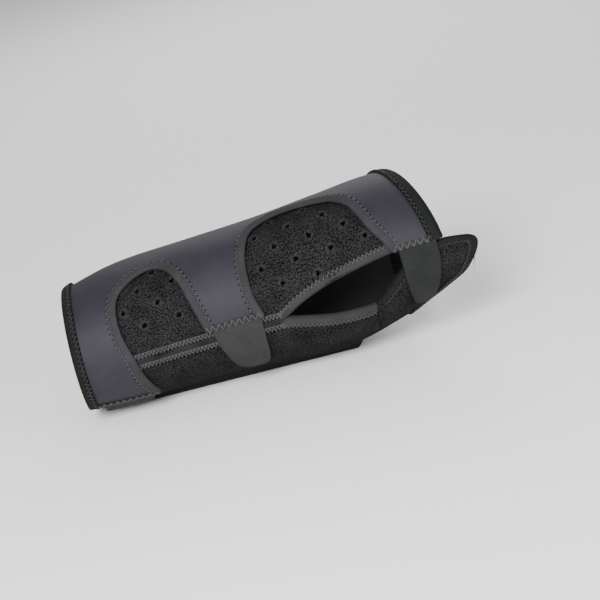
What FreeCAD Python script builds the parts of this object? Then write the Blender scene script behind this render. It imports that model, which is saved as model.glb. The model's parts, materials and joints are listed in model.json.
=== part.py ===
import FreeCAD, Part
import Sketcher
import math
import os

V = FreeCAD.Vector

# Wrist splint for a left hand, lying palm side down on its palmar stay pocket.
# +X runs from the forearm end to the fingers, +Z is the back of the hand, -Y the thumb side.
# Every soft layer is laid out by its station along the arm (mm from the forearm rim), its angle
# round the arm (0 thumb side, 90 back of the hand, 180 little-finger side) and its height above
# the arm form, then wrapped onto that form.

doc = FreeCAD.newDocument("WristSplint")

# ---------------------------------------------------------------- driving dimensions (mm, degrees)
SIZES = {
    "girth_scale": 1.0,            # girth of the arm form against the standard size
    "length_scale": 1.0,           # length of the splint against the standard size
    "rest_station": 74.0,          # station of the origin, at the middle of the resting face
    "lining_top": 0.8,             # heights above the arm form, each layer resting on the one below
    "sleeve_base": "=lining_top + 0.05",
    "sleeve_thick": 2.05,
    "sleeve_top": "=sleeve_base + sleeve_thick",
    "edge_base": -0.5,
    "edge_top": "=sleeve_top + 0.4",
    "shell_base": "=edge_top + 0.7",
    "shell_thick": 1.0,
    "shell_top": "=shell_base + shell_thick",
    "trim_base": "=shell_base - 0.35",
    "trim_top": "=shell_top + 0.4",
    "hook_base": "=edge_top + 0.3",
    "hook_top": "=hook_base + 0.6",
    "tab_top": "=hook_top + 1",
    "rim_width": 4.6,              # forearm rim binding, along the arm
    "knuckle_rim_width": 6.4,      # binding over the knuckles, along the arm
    "trim_width": 3.8,             # bindings round the strap edges
    "seam_height": 2.6,            # overcast stitching across each strap end, round the arm
    "knuckle_station": 176.0,      # back-of-hand rim on the centre line
    "knuckle_slant": 16.2,         # slant of that rim towards the index finger
    "hole_pitch": 17.6,            # vent holes: spacing along the arm, and between rows in degrees
    "hole_row_angle": 15.0,
    "hole_radius": 0.8,
    "stay_play": 0.3,
    "palm_pocket_floor": 0.8,
    "palm_stay_length": "=128 * length_scale",
    "palm_stay_width": 18.0,
    "palm_stay_thick": 1.2,
    "palm_slot_top": "=palm_pocket_floor + palm_stay_thick + 2 * stay_play",
    "palm_pocket_length": "=palm_stay_length + 10",
    "palm_pocket_width": "=palm_stay_width + 5",
    "palm_pocket_start": "=6 * length_scale",
    "palm_pocket_offset": 4.5,
    "palm_pocket_rounding": 1.2,
    "back_stay_length": "=112 * length_scale",
    "back_stay_width": 12.0,
    "back_stay_thick": 1.4,
    "back_pocket_length": "=back_stay_length + 10",
    "back_pocket_width": "=back_stay_width + 6",
    "back_pocket_thick": "=back_stay_thick + 1.8",
    "back_pocket_start": "=18 * length_scale",
    "back_pocket_offset": 4.0,
    "back_pocket_rise": 4.9,
}

sheet = doc.addObject("Spreadsheet::Sheet", "Dims")
for row, (alias, value) in enumerate(SIZES.items(), start=1):
    sheet.set(f"A{row}", alias)
    sheet.set(f"B{row}", str(value))
    sheet.setAlias(f"B{row}", alias)
doc.recompute()


def size(alias):
    return float(sheet.get(alias))


# ---------------------------------------------------------------- arm form
# station, half width, half depth and clearance over the palmar stay's slot, at the landmarks of a
# left arm: forearm rim, forearm belly, lower forearm, wrist, ball of the thumb, palm, knuckles
FORM = ((0, 30.0, 26.6, 1.5), (26, 32.7, 30.4, 0.5), (64, 33.0, 31.4, 1.7), (99, 32.6, 33.0, 1.1),
        (134, 36.0, 34.8, 1.3), (169, 39.0, 31.0, 11.5), (211, 37.2, 18.0, 28.5))


def curve(points, x):
    """Value at x of the smooth line through (x, y) points."""
    last = len(points) - 1
    i = max(0, min(last - 1, sum(1 for p in points if p[0] <= x) - 1))

    def slope(k):
        a, b = points[max(k - 1, 0)], points[min(k + 1, last)]
        return (b[1] - a[1]) / (b[0] - a[0])

    span = points[i + 1][0] - points[i][0]
    t = (x - points[i][0]) / span
    return ((2 * t ** 3 - 3 * t ** 2 + 1) * points[i][1] + (t ** 3 - 2 * t ** 2 + t) * span * slope(i)
            + (3 * t ** 2 - 2 * t ** 3) * points[i + 1][1] + (t ** 3 - t ** 2) * span * slope(i + 1))


def line(points):
    """Edge line as a function, straight between its points."""
    def at(x):
        if x <= points[0][0]:
            return points[0][1]
        for (x0, y0), (x1, y1) in zip(points, points[1:]):
            if x <= x1:
                return y0 + (y1 - y0) * (x - x0) / (x1 - x0)
        return points[-1][1]
    return at


def bend(points):
    """Edge line as a function, smooth through its points."""
    return lambda x: curve(points, min(max(x, points[0][0]), points[-1][0]))


def on_arm(station, angle, height):
    """Point at a station and angle round the arm, a height above the form."""
    half_width, half_depth, clear = (curve([(f[0], f[k]) for f in FORM], station) for k in (1, 2, 3))
    half_width *= size("girth_scale")
    half_depth *= size("girth_scale")
    centre = size("palm_slot_top") + clear + size("sleeve_top") + half_depth
    turn = math.radians(angle)
    return V(station * size("length_scale"), -(half_width + height) * math.cos(turn),
             centre + (half_depth + height) * math.sin(turn))


# ---------------------------------------------------------------- wrapped layers
def strip_wire(inner, outer):
    """Closed section of a layer from its inner and outer rows of points."""
    def spline(points):
        s = Part.BSplineCurve()
        s.interpolate(Points=points)
        return s.toShape()
    return Part.Wire([spline(outer), Part.makeLine(outer[-1], inner[-1]),
                      spline(inner[::-1]), Part.makeLine(inner[0], outer[0])])


def steps(first, last, pitch):
    count = max(2, int(math.ceil(abs(last - first) / pitch)))
    return [first + (last - first) * k / count for k in range(count + 1)]


def wrap_along(heights, stations, low, high, pitch=9.0):
    """Layer lofted along the arm, between two edge angles that change with the station."""
    wires = []
    for s in steps(stations[0], stations[1], pitch):
        angles = steps(low(s), high(s), (high(s) - low(s)) / max(6, round((high(s) - low(s)) / 14)))
        rows = [[on_arm(s, a, h) for a in angles] for h in heights]
        wires.append(strip_wire(*rows))
    return Part.makeLoft(wires, True, False)


def wrap_round(heights, angles, low, high, pitch=7.0):
    """Layer lofted round the arm, between two edge stations that change with the angle."""
    wires = []
    for a in steps(angles[0], angles[1], pitch):
        stations = steps(low(a), high(a), (high(a) - low(a)) / max(3, round((high(a) - low(a)) / 10)))
        rows = [[on_arm(s, a, h) for s in stations] for h in heights]
        wires.append(strip_wire(*rows))
    ends = [Part.makeRuledSurface(w.Edges[0], w.Edges[2]) for w in (wires[0], wires[-1])]
    skin = Part.makeShell(Part.makeLoft(wires, False, False).Faces + ends)
    skin.sewShape()
    solid = Part.makeSolid(Part.makeShell(skin.Faces))
    if solid.Volume < 0:
        solid.reverse()
    return solid


def fixed(value):
    return lambda _: value


def shifted(edge, amount):
    return lambda x: edge(x) + amount


def rim_slant():
    """Slant of the knuckle rim, kept so that the rim meets the same stations at any size."""
    return math.atan(math.tan(math.radians(size("knuckle_slant")))
                     * size("length_scale") / size("girth_scale"))


def beyond_knuckles(short):
    """Block that takes away everything past the slanted knuckle rim, less a margin."""
    block = Part.makeBox(200, 400, 300, V(0, -200, -100))
    block.Placement = FreeCAD.Placement(V(size("knuckle_station") * size("length_scale") - short, 0, 0),
                                        FreeCAD.Rotation(V(0, 0, 1), math.degrees(rim_slant())))
    return block


NODES = []


def node(name, shape):
    """Soft or sewn sub-part, placed so that the origin lies under the resting face."""
    feature = doc.addObject("Part::Feature", name)
    feature.Label = name
    feature.Shape = shape
    feature.Placement = FreeCAD.Placement(V(-size("rest_station") * size("length_scale"), 0, 0), FreeCAD.Rotation())
    feature.setExpression("Placement.Base.x", "-Dims.rest_station * Dims.length_scale")
    NODES.append(feature)
    return feature


SEAM = -6.0                  # radial seam between the palmar and dorsal panels
ULNAR = 180.0                # ulnar seam
LINING = (0.0, size("lining_top"))
SLEEVE = (size("sleeve_base"), size("sleeve_top"))
EDGE = (size("edge_base"), size("edge_top"))
INSIDE_EDGE = (-0.12, size("sleeve_top") + 0.12)
SHELL = (size("shell_base"), size("shell_top"))
TRIM = (size("trim_base"), size("trim_top"))
INSIDE_TRIM = (size("shell_base") - 0.08, size("shell_top") + 0.08)

# thumb side edges: the dorsal panel rises over the thumb opening, the palmar panel drops below it
thumb_rise = bend([(94, SEAM), (103, SEAM), (112, 1), (120, 7.5), (134, 14), (150, 17), (163, 18), (176, 20),
                   (190, 24)])
thumb_drop = bend([(94, 360 + SEAM), (103, 360 + SEAM), (112, 352), (130, 345), (145, 341), (150, 340)])


def dorsal_edge(station):
    return max(SEAM, thumb_rise(station))


def palmar_edge(station):
    return min(360 + SEAM, thumb_drop(station))



PANEL_START = 0.6
PANEL_REACH = size("knuckle_station") + 16
PALM_STEP = 149.6
PALM_END = 170.0
TONGUE_ROOT = 306.0


# ---------------------------------------------------------------- sleeve panels and linings
def dorsal_layer(heights):
    layer = wrap_along(heights, (PANEL_START, PANEL_REACH), shifted(dorsal_edge, 0.1), fixed(ULNAR - 0.1), 6.0)
    return layer.cut(beyond_knuckles(0.6))


def palmar_layer(heights):
    layer = wrap_along(heights, (PANEL_START, PALM_END - 0.6), fixed(ULNAR + 0.1), shifted(palmar_edge, -0.1))
    room = (heights[0] - 3, heights[1] + 3)
    return layer.cut(wrap_along(room, (PALM_STEP, PALM_END + 5), fixed(TONGUE_ROOT), fixed(348), 6.0))


def vent_holes():
    """Drills for the staggered rows of vent holes, square to the arm."""
    drills = []
    for row in range(10):
        angle = 22.0 + row * size("hole_row_angle")
        first = 11.6 + ((row + 1) % 2) * size("hole_pitch") / 2
        for k in range(int((172 - first) // size("hole_pitch")) + 1):
            s = first + k * size("hole_pitch")
            if angle < dorsal_edge(s) + 10 or s > size("knuckle_station") - 12:
                continue
            foot, tip = on_arm(s, angle, 0), on_arm(s, angle, 5)
            drills.append(Part.makeCylinder(size("hole_radius"), 5.0, foot, tip - foot))
    return Part.makeCompound(drills)


node("dorsal_sleeve_panel", dorsal_layer(SLEEVE).cut(vent_holes()))
node("palmar_sleeve_panel", palmar_layer(SLEEVE))
node("dorsal_lining", dorsal_layer(LINING))
node("palmar_lining", palmar_layer(LINING))

# tongue that rises from the palm between the thumb and the index finger
tongue_top = bend([(149.7, -20), (158, -10), (166, 0), (176, 10), (187, 17.5), (196, 19.5), (203, 18), (208.5, 12)])
tongue_low = line([(149.7, -53.8), (172, -53.8), (187, -40), (199, -29), (203, -18), (206, -2), (208.5, 7)])
node("thumb_web_tongue", wrap_along(SLEEVE, (149.75, 208.5), tongue_low, tongue_top, 3.5))

TAPE = (size("sleeve_top") + 0.1, size("edge_top"))
rim = size("rim_width")
node("radial_seam_tape", wrap_along(TAPE, (rim + 0.1, 103), fixed(SEAM - 8), fixed(SEAM + 8)))
node("ulnar_seam_tape", wrap_along(TAPE, (rim + 0.1, 158), fixed(ULNAR - 6), fixed(ULNAR + 6)))

# ---------------------------------------------------------------- edge bindings of the sleeve
node("forearm_rim_binding",
     wrap_along(EDGE, (0, rim), fixed(SEAM + 0.4), fixed(SEAM + 359.6), 1.2).cut(
         wrap_along(INSIDE_EDGE, (PANEL_START - 0.1, rim + 1), fixed(SEAM + 0.1), fixed(SEAM + 359.9), 1.2)))

back = wrap_along(EDGE, (PANEL_REACH - 34, PANEL_REACH), shifted(dorsal_edge, 0.1), fixed(ULNAR - 0.1), 4.0)
back_inside = wrap_along(INSIDE_EDGE, (PANEL_REACH - 35, PANEL_REACH + 1), shifted(dorsal_edge, -2),
                         fixed(ULNAR + 2), 4.0)
knuckle_rim = back.cut(beyond_knuckles(0)).common(beyond_knuckles(size("knuckle_rim_width")))
node("knuckle_rim_binding", knuckle_rim.cut(back_inside.cut(beyond_knuckles(0.55))))

node("palm_rim_binding",
     wrap_along(EDGE, (PALM_END - 5, PALM_END), fixed(ULNAR + 0.1), fixed(TONGUE_ROOT), 1.2).cut(
         wrap_along(INSIDE_EDGE, (PALM_END - 6, PALM_END - 0.55), fixed(ULNAR - 2), fixed(TONGUE_ROOT + 2), 1.2)))

knuckles_at_thumb = size("knuckle_station") + 8.9 - size("knuckle_rim_width")
node("thumb_binding_dorsal",
     wrap_along(EDGE, (108, knuckles_at_thumb), shifted(dorsal_edge, -1.4), shifted(dorsal_edge, 5.2), 4.0).cut(
         wrap_along(INSIDE_EDGE, (107, knuckles_at_thumb + 1), shifted(dorsal_edge, -0.6), shifted(dorsal_edge, 7), 4.0)))
node("thumb_binding_palmar",
     wrap_along(EDGE, (108, 149.5), shifted(palmar_edge, -5.2), shifted(palmar_edge, 1.2), 4.0).cut(
         wrap_along(INSIDE_EDGE, (107, 150.5), shifted(palmar_edge, -7), shifted(palmar_edge, 0.3), 4.0)))
node("tongue_binding",
     wrap_along(EDGE, (151, 206), shifted(tongue_top, -4.5), shifted(tongue_top, 1.2), 3.5).cut(
         wrap_along(INSIDE_EDGE, (150, 207), shifted(tongue_top, -6), shifted(tongue_top, 0.3), 3.5)))

# ---------------------------------------------------------------- dorsal shell
# its lower edge runs along the three strap roots; each bay between two straps has a bound crown
BAYS = {"forearm": (66.0, ((25.5, 40), (27.5, 50), (34, 61), (45.5, 68), (50.5, 60), (55, 52), (58, 40))),
        "hand": (80.0, ((92, 37), (93, 52), (97, 71), (103, 81), (114, 87), (126, 85), (139, 79), (149, 64),
                        (154, 45)))}
STRAPS = {
    # strap: angles of its end and root, its proximal and distal edges
    "forearm": (-44.0, 60.0, fixed(0.0),
                bend([(-44, 36.5), (-20, 31.5), (1, 28.5), (22, 25.5), (40, 25.5), (60, 33)])),
    "wrist": (3.0, 60.0, bend([(3, 66.5), (28, 62), (54, 55), (60, 51.5)]),
              bend([(3, 95.5), (19, 92.5), (37, 92), (52, 93), (60, 94.5)])),
    "hand": (18.0, 72.0, bend([(18, 163), (27, 160), (40, 155), (55, 151), (64, 148.5), (72, 144.5)]),
             lambda a: size("knuckle_station") - 0.1 + math.tan(rim_slant())
             * (38 * size("girth_scale") + size("shell_top")) * math.cos(math.radians(a)) / size("length_scale")),
}
ROOT_GAP = 1.0
shell_edge = line([(0, 60), (100, 60), (122, 72), (192, 72)])


def bay_block(facing, outline, grow):
    """Block through the dorsal wall with a bay's outline, grown outward all round."""
    out = V(0, -math.cos(math.radians(facing)), math.sin(math.radians(facing)))
    points = [on_arm(s, a, 4.5) for s, a in outline]
    points = [p - out * (p * out - 45) for p in points]
    rim_line = Part.BSplineCurve()
    rim_line.interpolate(Points=points, PeriodicFlag=True)
    if grow:
        count = 3 * len(points)
        places = [rim_line.LastParameter * k / count for k in range(count)]
        on_line = [rim_line.value(u) for u in places]
        across = [rim_line.tangent(u)[0].cross(out).normalize() for u in places]
        middle = sum(points, V()) * (1 / len(points))
        way = 1 if sum(n * (p - middle) for n, p in zip(across, on_line)) > 0 else -1
        rim_line = Part.BSplineCurve()
        rim_line.interpolate(Points=[p + n * (way * grow) for p, n in zip(on_line, across)], PeriodicFlag=True)
    return Part.Face(Part.Wire([rim_line.toShape()])).extrude(out * 60)


shell = wrap_along(SHELL, (0.6, PANEL_REACH), shifted(shell_edge, ROOT_GAP), fixed(ULNAR), 6.0)
for facing, outline in BAYS.values():
    shell = shell.cut(bay_block(facing, outline, 0.65))
node("dorsal_shell", shell.cut(beyond_knuckles(0.6)))

for side, (facing, outline) in BAYS.items():
    reach = (outline[0][0] - 8, outline[-1][0] + 8)
    crown = wrap_along(TRIM, reach, shifted(shell_edge, ROOT_GAP), fixed(facing + 20), 6.0)
    fold = wrap_along(INSIDE_TRIM, (reach[0] - 1, reach[1] + 1), shifted(shell_edge, -2), fixed(facing + 24), 6.0)
    crown = crown.common(bay_block(facing, outline, size("trim_width"))).cut(bay_block(facing, outline, 0))
    node(f"{side}_bay_binding", crown.cut(fold.cut(bay_block(facing, outline, 0.6))))

# ---------------------------------------------------------------- straps, their trims, end seams and tabs
TABS = {
    "forearm": (-47.6, -74.0, bend([(-74, 13), (-71, 10.5), (-60, 8), (-47.6, 7)]),
                bend([(-74, 27), (-71, 30), (-60, 32), (-47.6, 33)])),
    "wrist": (-1.6, -45.0, bend([(-45, 83), (-41, 79), (-30, 75.5), (-14, 71.5), (-1.6, 69)]),
              bend([(-45, 88.5), (-41, 92), (-30, 94), (-14, 94), (-1.6, 94)])),
    "hand": (14.0, -38.0, bend([(-38, 172), (-34, 170), (-20, 168), (0, 166.5), (14, 166)]),
             bend([(-38, 177), (-34, 179.5), (-20, 183), (0, 185), (14, 184.5)])),
}


def edge_trim(angles, edge, inward, width):
    """Folded binding along one long edge of a strap."""
    outer, fold = (edge, shifted(edge, width)) if inward > 0 else (shifted(edge, -width), edge)
    clear = (shifted(edge, 0.6), shifted(edge, 20)) if inward > 0 else (shifted(edge, -20), shifted(edge, -0.6))
    start, end = angles
    return wrap_round(TRIM, angles, outer, fold, 5.0).cut(
        wrap_round(INSIDE_TRIM, (start - 1, end + 1), clear[0], clear[1], 5.0))


for name, (end, root, near, far) in STRAPS.items():
    node(f"{name}_strap", wrap_round(SHELL, (end, root), shifted(near, 0.8), shifted(far, -0.8), 5.0))
    near_width = rim if name == "forearm" else size("trim_width")
    far_width = size("knuckle_rim_width") if name == "hand" else size("trim_width")
    above = end + math.degrees(size("seam_height") / (38.0 * size("girth_scale")))
    trims = [edge_trim((above, root), near, 1, near_width), edge_trim((above, root), far, -1, far_width)]
    node(f"{name}_strap_binding", Part.makeCompound(trims))
    band = wrap_round(TRIM, (end - 0.8, above - 0.2), near, far, 2.0)
    slot = wrap_round(INSIDE_TRIM, (end - 0.15, above + 2), shifted(near, 0.55), shifted(far, -0.55), 2.0)
    node(f"{name}_end_seam", band.cut(slot))

for name, (root, tip, near, far) in TABS.items():
    node(f"{name}_tab", wrap_round((size("hook_top") + 0.05, size("tab_top")), (tip, root), near, far, 4.0))
    node(f"{name}_hook_patch",
         wrap_round((size("hook_base"), size("hook_top")), (tip + 2.5, root - 2.5),
                    shifted(near, 1.6), shifted(far, -1.6), 4.0))


# ---------------------------------------------------------------- stays and their pockets
def body_box(body, name, length, width, height, base, cut=False):
    """Rectangle on the body's XY plane, set in by base expressions, padded or pocketed."""
    plane = next(f for f in body.Origin.OriginFeatures if f.Role == "XY_Plane")
    sketch = body.newObject("Sketcher::SketchObject", f"{name}_sketch")
    sketch.AttachmentSupport = (plane, [""])
    sketch.MapMode = "FlatFace"
    sketch.setExpression("AttachmentOffset.Base.z", base[2])
    corners = [V(0, 0, 0), V(10, 0, 0), V(10, 5, 0), V(0, 5, 0)]
    for a, b in zip(corners, corners[1:] + corners[:1]):
        sketch.addGeometry(Part.LineSegment(a, b), False)
    for k in range(4):
        sketch.addConstraint(Sketcher.Constraint("Coincident", k, 2, (k + 1) % 4, 1))
    for k, way in enumerate(("Horizontal", "Vertical", "Horizontal", "Vertical")):
        sketch.addConstraint(Sketcher.Constraint(way, k))
    for kind, first, then, amount in (("DistanceX", (0, 1), (0, 2), length), ("DistanceY", (1, 1), (1, 2), width),
                                      ("DistanceX", (-1, 1), (0, 1), base[0]), ("DistanceY", (-1, 1), (0, 1), base[1])):
        index = sketch.addConstraint(Sketcher.Constraint(kind, *first, *then, 1.0))
        sketch.setExpression(f"Constraints[{index}]", amount)
    step = body.newObject("PartDesign::Pocket" if cut else "PartDesign::Pad", name)
    step.Profile = sketch
    if cut:
        step.Reversed = True
    step.setExpression("Length", height)
    doc.recompute()
    return step


def round_edges(body, step, radius, chosen):
    """Rounds the edges of a step that the chooser picks."""
    picked = [f"Edge{i}" for i, e in enumerate(step.Shape.Edges, start=1) if chosen(e)]
    fillet = body.newObject("PartDesign::Fillet", "rounding")
    fillet.Base = (step, picked)
    fillet.setExpression("Radius", radius)
    doc.recompute()


def upright(edge):
    return abs(abs(edge.tangentAt(edge.FirstParameter).z) - 1) < 1e-6


def lower_long(edge):
    return edge.BoundBox.ZMax < 1e-6 and edge.BoundBox.XLength > 10


# palmar pocket: a flat sewn sheath along the palm side, its underside is the resting face
palm_bag = doc.addObject("PartDesign::Body", "palmar_pocket_sheath")
sheath = body_box(palm_bag, "sheath", "Dims.palm_pocket_length", "Dims.palm_pocket_width", "12",
                  ("0", "-Dims.palm_pocket_width / 2", "0"))
round_edges(palm_bag, sheath, "Dims.palm_pocket_rounding", lower_long)
body_box(palm_bag, "stay_slot", "Dims.palm_pocket_length - 5", "Dims.palm_stay_width + 2 * Dims.stay_play",
         "Dims.palm_stay_thick + 2 * Dims.stay_play",
         ("-1", "-Dims.palm_stay_width / 2 - Dims.stay_play", "Dims.palm_pocket_floor"), cut=True)
palm_bag.setExpression("Placement.Base.x", "Dims.palm_pocket_start - Dims.rest_station * Dims.length_scale")
palm_bag.setExpression("Placement.Base.y", "Dims.palm_pocket_offset")

arm_inside = doc.addObject("Part::Feature", "palm_side_of_arm")
arm_inside.Shape = wrap_along((-20, size("sleeve_top") + 0.05), (-4, 160), fixed(190), fixed(350))
arm_inside.setExpression("Placement.Base.x", "-Dims.rest_station * Dims.length_scale")
palm_pocket = doc.addObject("Part::Cut", "palmar_stay_pocket")
palm_pocket.Base, palm_pocket.Tool = palm_bag, arm_inside

palm_stay = doc.addObject("PartDesign::Body", "palmar_stay")
bar = body_box(palm_stay, "bar", "Dims.palm_stay_length", "Dims.palm_stay_width", "Dims.palm_stay_thick",
               ("0", "-Dims.palm_stay_width / 2", "0"))
round_edges(palm_stay, bar, "Dims.palm_stay_width / 2 - 0.5", upright)
palm_stay.setExpression("Placement.Base.x", "Dims.palm_pocket_start + 2 - Dims.rest_station * Dims.length_scale")
palm_stay.setExpression("Placement.Base.y", "Dims.palm_pocket_offset")
palm_stay.setExpression("Placement.Base.z", "Dims.palm_pocket_floor + Dims.stay_play")

# back pocket: sewn shut inside the dorsal lining, rising gently with the back of the arm
rise = size("back_pocket_rise")
back_bag = doc.addObject("PartDesign::Body", "dorsal_pocket_sheath")
body_box(back_bag, "sheath", "Dims.back_pocket_length", "Dims.back_pocket_width", "Dims.back_pocket_thick + 3",
         ("0", "-Dims.back_pocket_width / 2", "0"))
body_box(back_bag, "stay_slot", "Dims.back_pocket_length - 6", "Dims.back_stay_width + 2 * Dims.stay_play",
         "Dims.back_stay_thick + 2 * Dims.stay_play",
         ("3", "-Dims.back_stay_width / 2 - Dims.stay_play", "0.7"), cut=True)
back_stay = doc.addObject("PartDesign::Body", "dorsal_stay")
bar = body_box(back_stay, "bar", "Dims.back_stay_length", "Dims.back_stay_width", "Dims.back_stay_thick",
               ("0", "-Dims.back_stay_width / 2", "0"))
round_edges(back_stay, bar, "Dims.back_stay_width / 2 - 0.5", upright)

tilt = FreeCAD.Rotation(V(0, 1, 0), -rise)
runs = [t * size("back_pocket_length") for t in (0, 0.25, 0.5, 0.75, 1)]
roof = min(on_arm((size("back_pocket_start") + run) / size("length_scale"), 90 + 20, 0).z
           - math.tan(math.radians(rise)) * run for run in runs)
foot = V(size("back_pocket_start") - size("rest_station") * size("length_scale"), size("back_pocket_offset"),
         roof - size("back_pocket_thick"))
back_bag.Placement = FreeCAD.Placement(foot, tilt)
back_stay.Placement = FreeCAD.Placement(foot + tilt.multVec(V(5, 0, 0.7 + size("stay_play"))), tilt)

arm_back = doc.addObject("Part::Feature", "room_inside_dorsal_lining")
arm_back.Shape = wrap_along((-20, -0.05), (-4, 180), fixed(15), fixed(165))
arm_back.setExpression("Placement.Base.x", "-Dims.rest_station * Dims.length_scale")
back_pocket = doc.addObject("Part::Common", "dorsal_stay_pocket")
back_pocket.Base, back_pocket.Tool = back_bag, arm_back

for name, feature in (("palmar_stay_pocket", palm_pocket), ("palmar_stay", palm_stay),
                      ("dorsal_stay_pocket", back_pocket), ("dorsal_stay", back_stay)):
    feature.Label = name
    NODES.append(feature)

# ---------------------------------------------------------------- check and export
doc.recompute()
os.makedirs("parts", exist_ok=True)
for feature in NODES:
    if "Invalid" in feature.State or "Error" in feature.State:
        raise RuntimeError(f"{feature.Label}: {feature.State}")
    shape = feature.Shape
    if shape.isNull() or not shape.isValid() or not shape.Solids:
        raise RuntimeError(f"{feature.Label}: bad shape")
    shape.exportStep(f"parts/{feature.Label}.step")
    print(f"{feature.Label}: {len(shape.Solids)} solid, {shape.Volume:.0f} mm3")
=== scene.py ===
import json
import math

import bmesh
import bpy
import numpy as np
from mathutils import Matrix, Vector


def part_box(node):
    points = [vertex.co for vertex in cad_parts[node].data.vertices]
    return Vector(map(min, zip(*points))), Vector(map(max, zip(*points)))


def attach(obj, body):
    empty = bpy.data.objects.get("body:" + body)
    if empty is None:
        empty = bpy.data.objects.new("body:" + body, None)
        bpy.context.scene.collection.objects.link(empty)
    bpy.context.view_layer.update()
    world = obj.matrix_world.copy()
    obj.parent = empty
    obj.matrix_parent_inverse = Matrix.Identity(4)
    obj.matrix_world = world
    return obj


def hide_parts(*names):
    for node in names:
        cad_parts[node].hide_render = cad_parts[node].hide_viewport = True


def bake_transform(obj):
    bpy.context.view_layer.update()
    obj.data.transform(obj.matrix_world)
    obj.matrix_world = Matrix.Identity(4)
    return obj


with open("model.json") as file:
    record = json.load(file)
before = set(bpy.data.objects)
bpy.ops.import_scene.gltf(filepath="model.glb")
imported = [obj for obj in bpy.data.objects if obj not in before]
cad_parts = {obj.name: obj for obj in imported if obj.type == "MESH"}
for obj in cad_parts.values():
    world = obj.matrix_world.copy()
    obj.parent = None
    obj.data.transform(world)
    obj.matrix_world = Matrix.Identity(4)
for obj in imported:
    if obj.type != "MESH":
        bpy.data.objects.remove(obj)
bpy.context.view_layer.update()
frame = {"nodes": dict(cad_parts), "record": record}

MM = 0.001
RIM_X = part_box("forearm_rim_binding")[0].x      # station 0, the forearm rim

# ------------------------------------------------------------------ the arm form, as in the CAD
# station along the arm, half width, half depth and height of the centre (mm)
FORM = np.array([(0, 30.0, 26.6, 33.6), (26, 32.7, 30.4, 36.4), (64, 33.0, 31.4, 38.6),
                 (99, 32.6, 33.0, 39.6), (134, 36.0, 34.8, 41.6), (169, 39.0, 31.0, 48.0),
                 (211, 37.2, 18.0, 52.0)])
ROUND = 0.63        # mm round the arm for one degree, for distances on the flat pattern
ULNAR = 180.0       # angle of the seam on the little finger's side (degrees)
SEAM = -6.0         # angle of the radial seam
MIDDLE_HEIGHT = 0.042   # height of the arm's middle line (m)
SHARP = 0.9         # angle between two faces above which their edge stays sharp (radians)
LINING_TOP, LINING_THICK = 0.8, 0.7     # mm
SHELL_TOP, SHELL_THICK = 5.0, 1.0       # mm


def smooth(px, py, x):
    """Value at x of the smooth line through the points px, py."""
    px, py = np.asarray(px, float), np.asarray(py, float)
    slope = np.empty_like(py)
    slope[1:-1] = (py[2:] - py[:-2]) / (px[2:] - px[:-2])
    slope[0], slope[-1] = (py[1] - py[0]) / (px[1] - px[0]), (py[-1] - py[-2]) / (px[-1] - px[-2])
    x = np.asarray(x, float)
    i = np.clip(np.searchsorted(px, x, "right") - 1, 0, len(px) - 2)
    span = px[i + 1] - px[i]
    t = (x - px[i]) / span
    return ((2 * t ** 3 - 3 * t ** 2 + 1) * py[i] + (t ** 3 - 2 * t ** 2 + t) * span * slope[i]
            + (3 * t ** 2 - 2 * t ** 3) * py[i + 1] + (t ** 3 - t ** 2) * span * slope[i + 1])


def on_arm(s, a, h):
    """Points (metres) at stations s, angles a round the arm and heights h above the form."""
    s, a, h = np.broadcast_arrays(np.asarray(s, float), a, h)
    width, depth, centre = (smooth(FORM[:, 0], FORM[:, k], s) for k in (1, 2, 3))
    turn = np.radians(a)
    return np.stack([RIM_X + s * MM, -(width + h) * np.cos(turn) * MM,
                     (centre + (depth + h) * np.sin(turn)) * MM], -1)


def surface_axes(s, a, h):
    """Unit vectors along the arm, round it and outwards at a point of the form."""
    along = Vector(on_arm(s + 0.5, a, h) - on_arm(s - 0.5, a, h)).normalized()
    about = Vector(on_arm(s, a + 0.5, h) - on_arm(s, a - 0.5, h)).normalized()
    return along, about, along.cross(about).normalized()


# ------------------------------------------------------------------ pattern lines (station, angle)
DORSAL_EDGE = [(0, SEAM), (103, SEAM), (107, -3), (112, 2), (118, 6.5), (126, 11), (134, 14), (150, 17),
               (163, 18), (176, 20), (190, 24)]
PALMAR_EDGE = [(0, SEAM), (103, SEAM), (108, -7), (116, -10), (130, -15), (145, -19), (150, -20)]
FOREARM_BAY = [(36.5, -44), (31.5, -20), (28.5, 1), (25.5, 22), (25.5, 40), (28, 52), (33.5, 60.5),
               (39.5, 66), (46, 68.4), (52, 65), (56, 57), (59.5, 44), (62.3, 28), (66.5, 3)]
HAND_BAY = [(95.5, 3), (92.5, 19), (92, 37), (93, 52), (97, 71), (103, 81), (114, 87), (126, 85), (139, 79),
            (144.5, 72), (148.5, 64), (151, 55), (155, 40), (160, 27), (163, 18)]
ROOTS = {"forearm": 60.0, "wrist": 60.0, "hand": 72.0}
STRAP_MIDDLES = {"forearm": 17, "wrist": 73, "hand": 162}
ENDS = {"forearm": -44.0, "wrist": 3.0, "hand": 18.0}
KNUCKLES, SLANT = 176.0, math.tan(math.radians(16.2))
KNUCKLE_HALF_WIDTH = 43.0


def knuckle_line(a):
    """Station of the slanted rim over the knuckles at an angle round the arm."""
    return KNUCKLES + SLANT * KNUCKLE_HALF_WIDTH * np.cos(np.radians(a))


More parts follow.
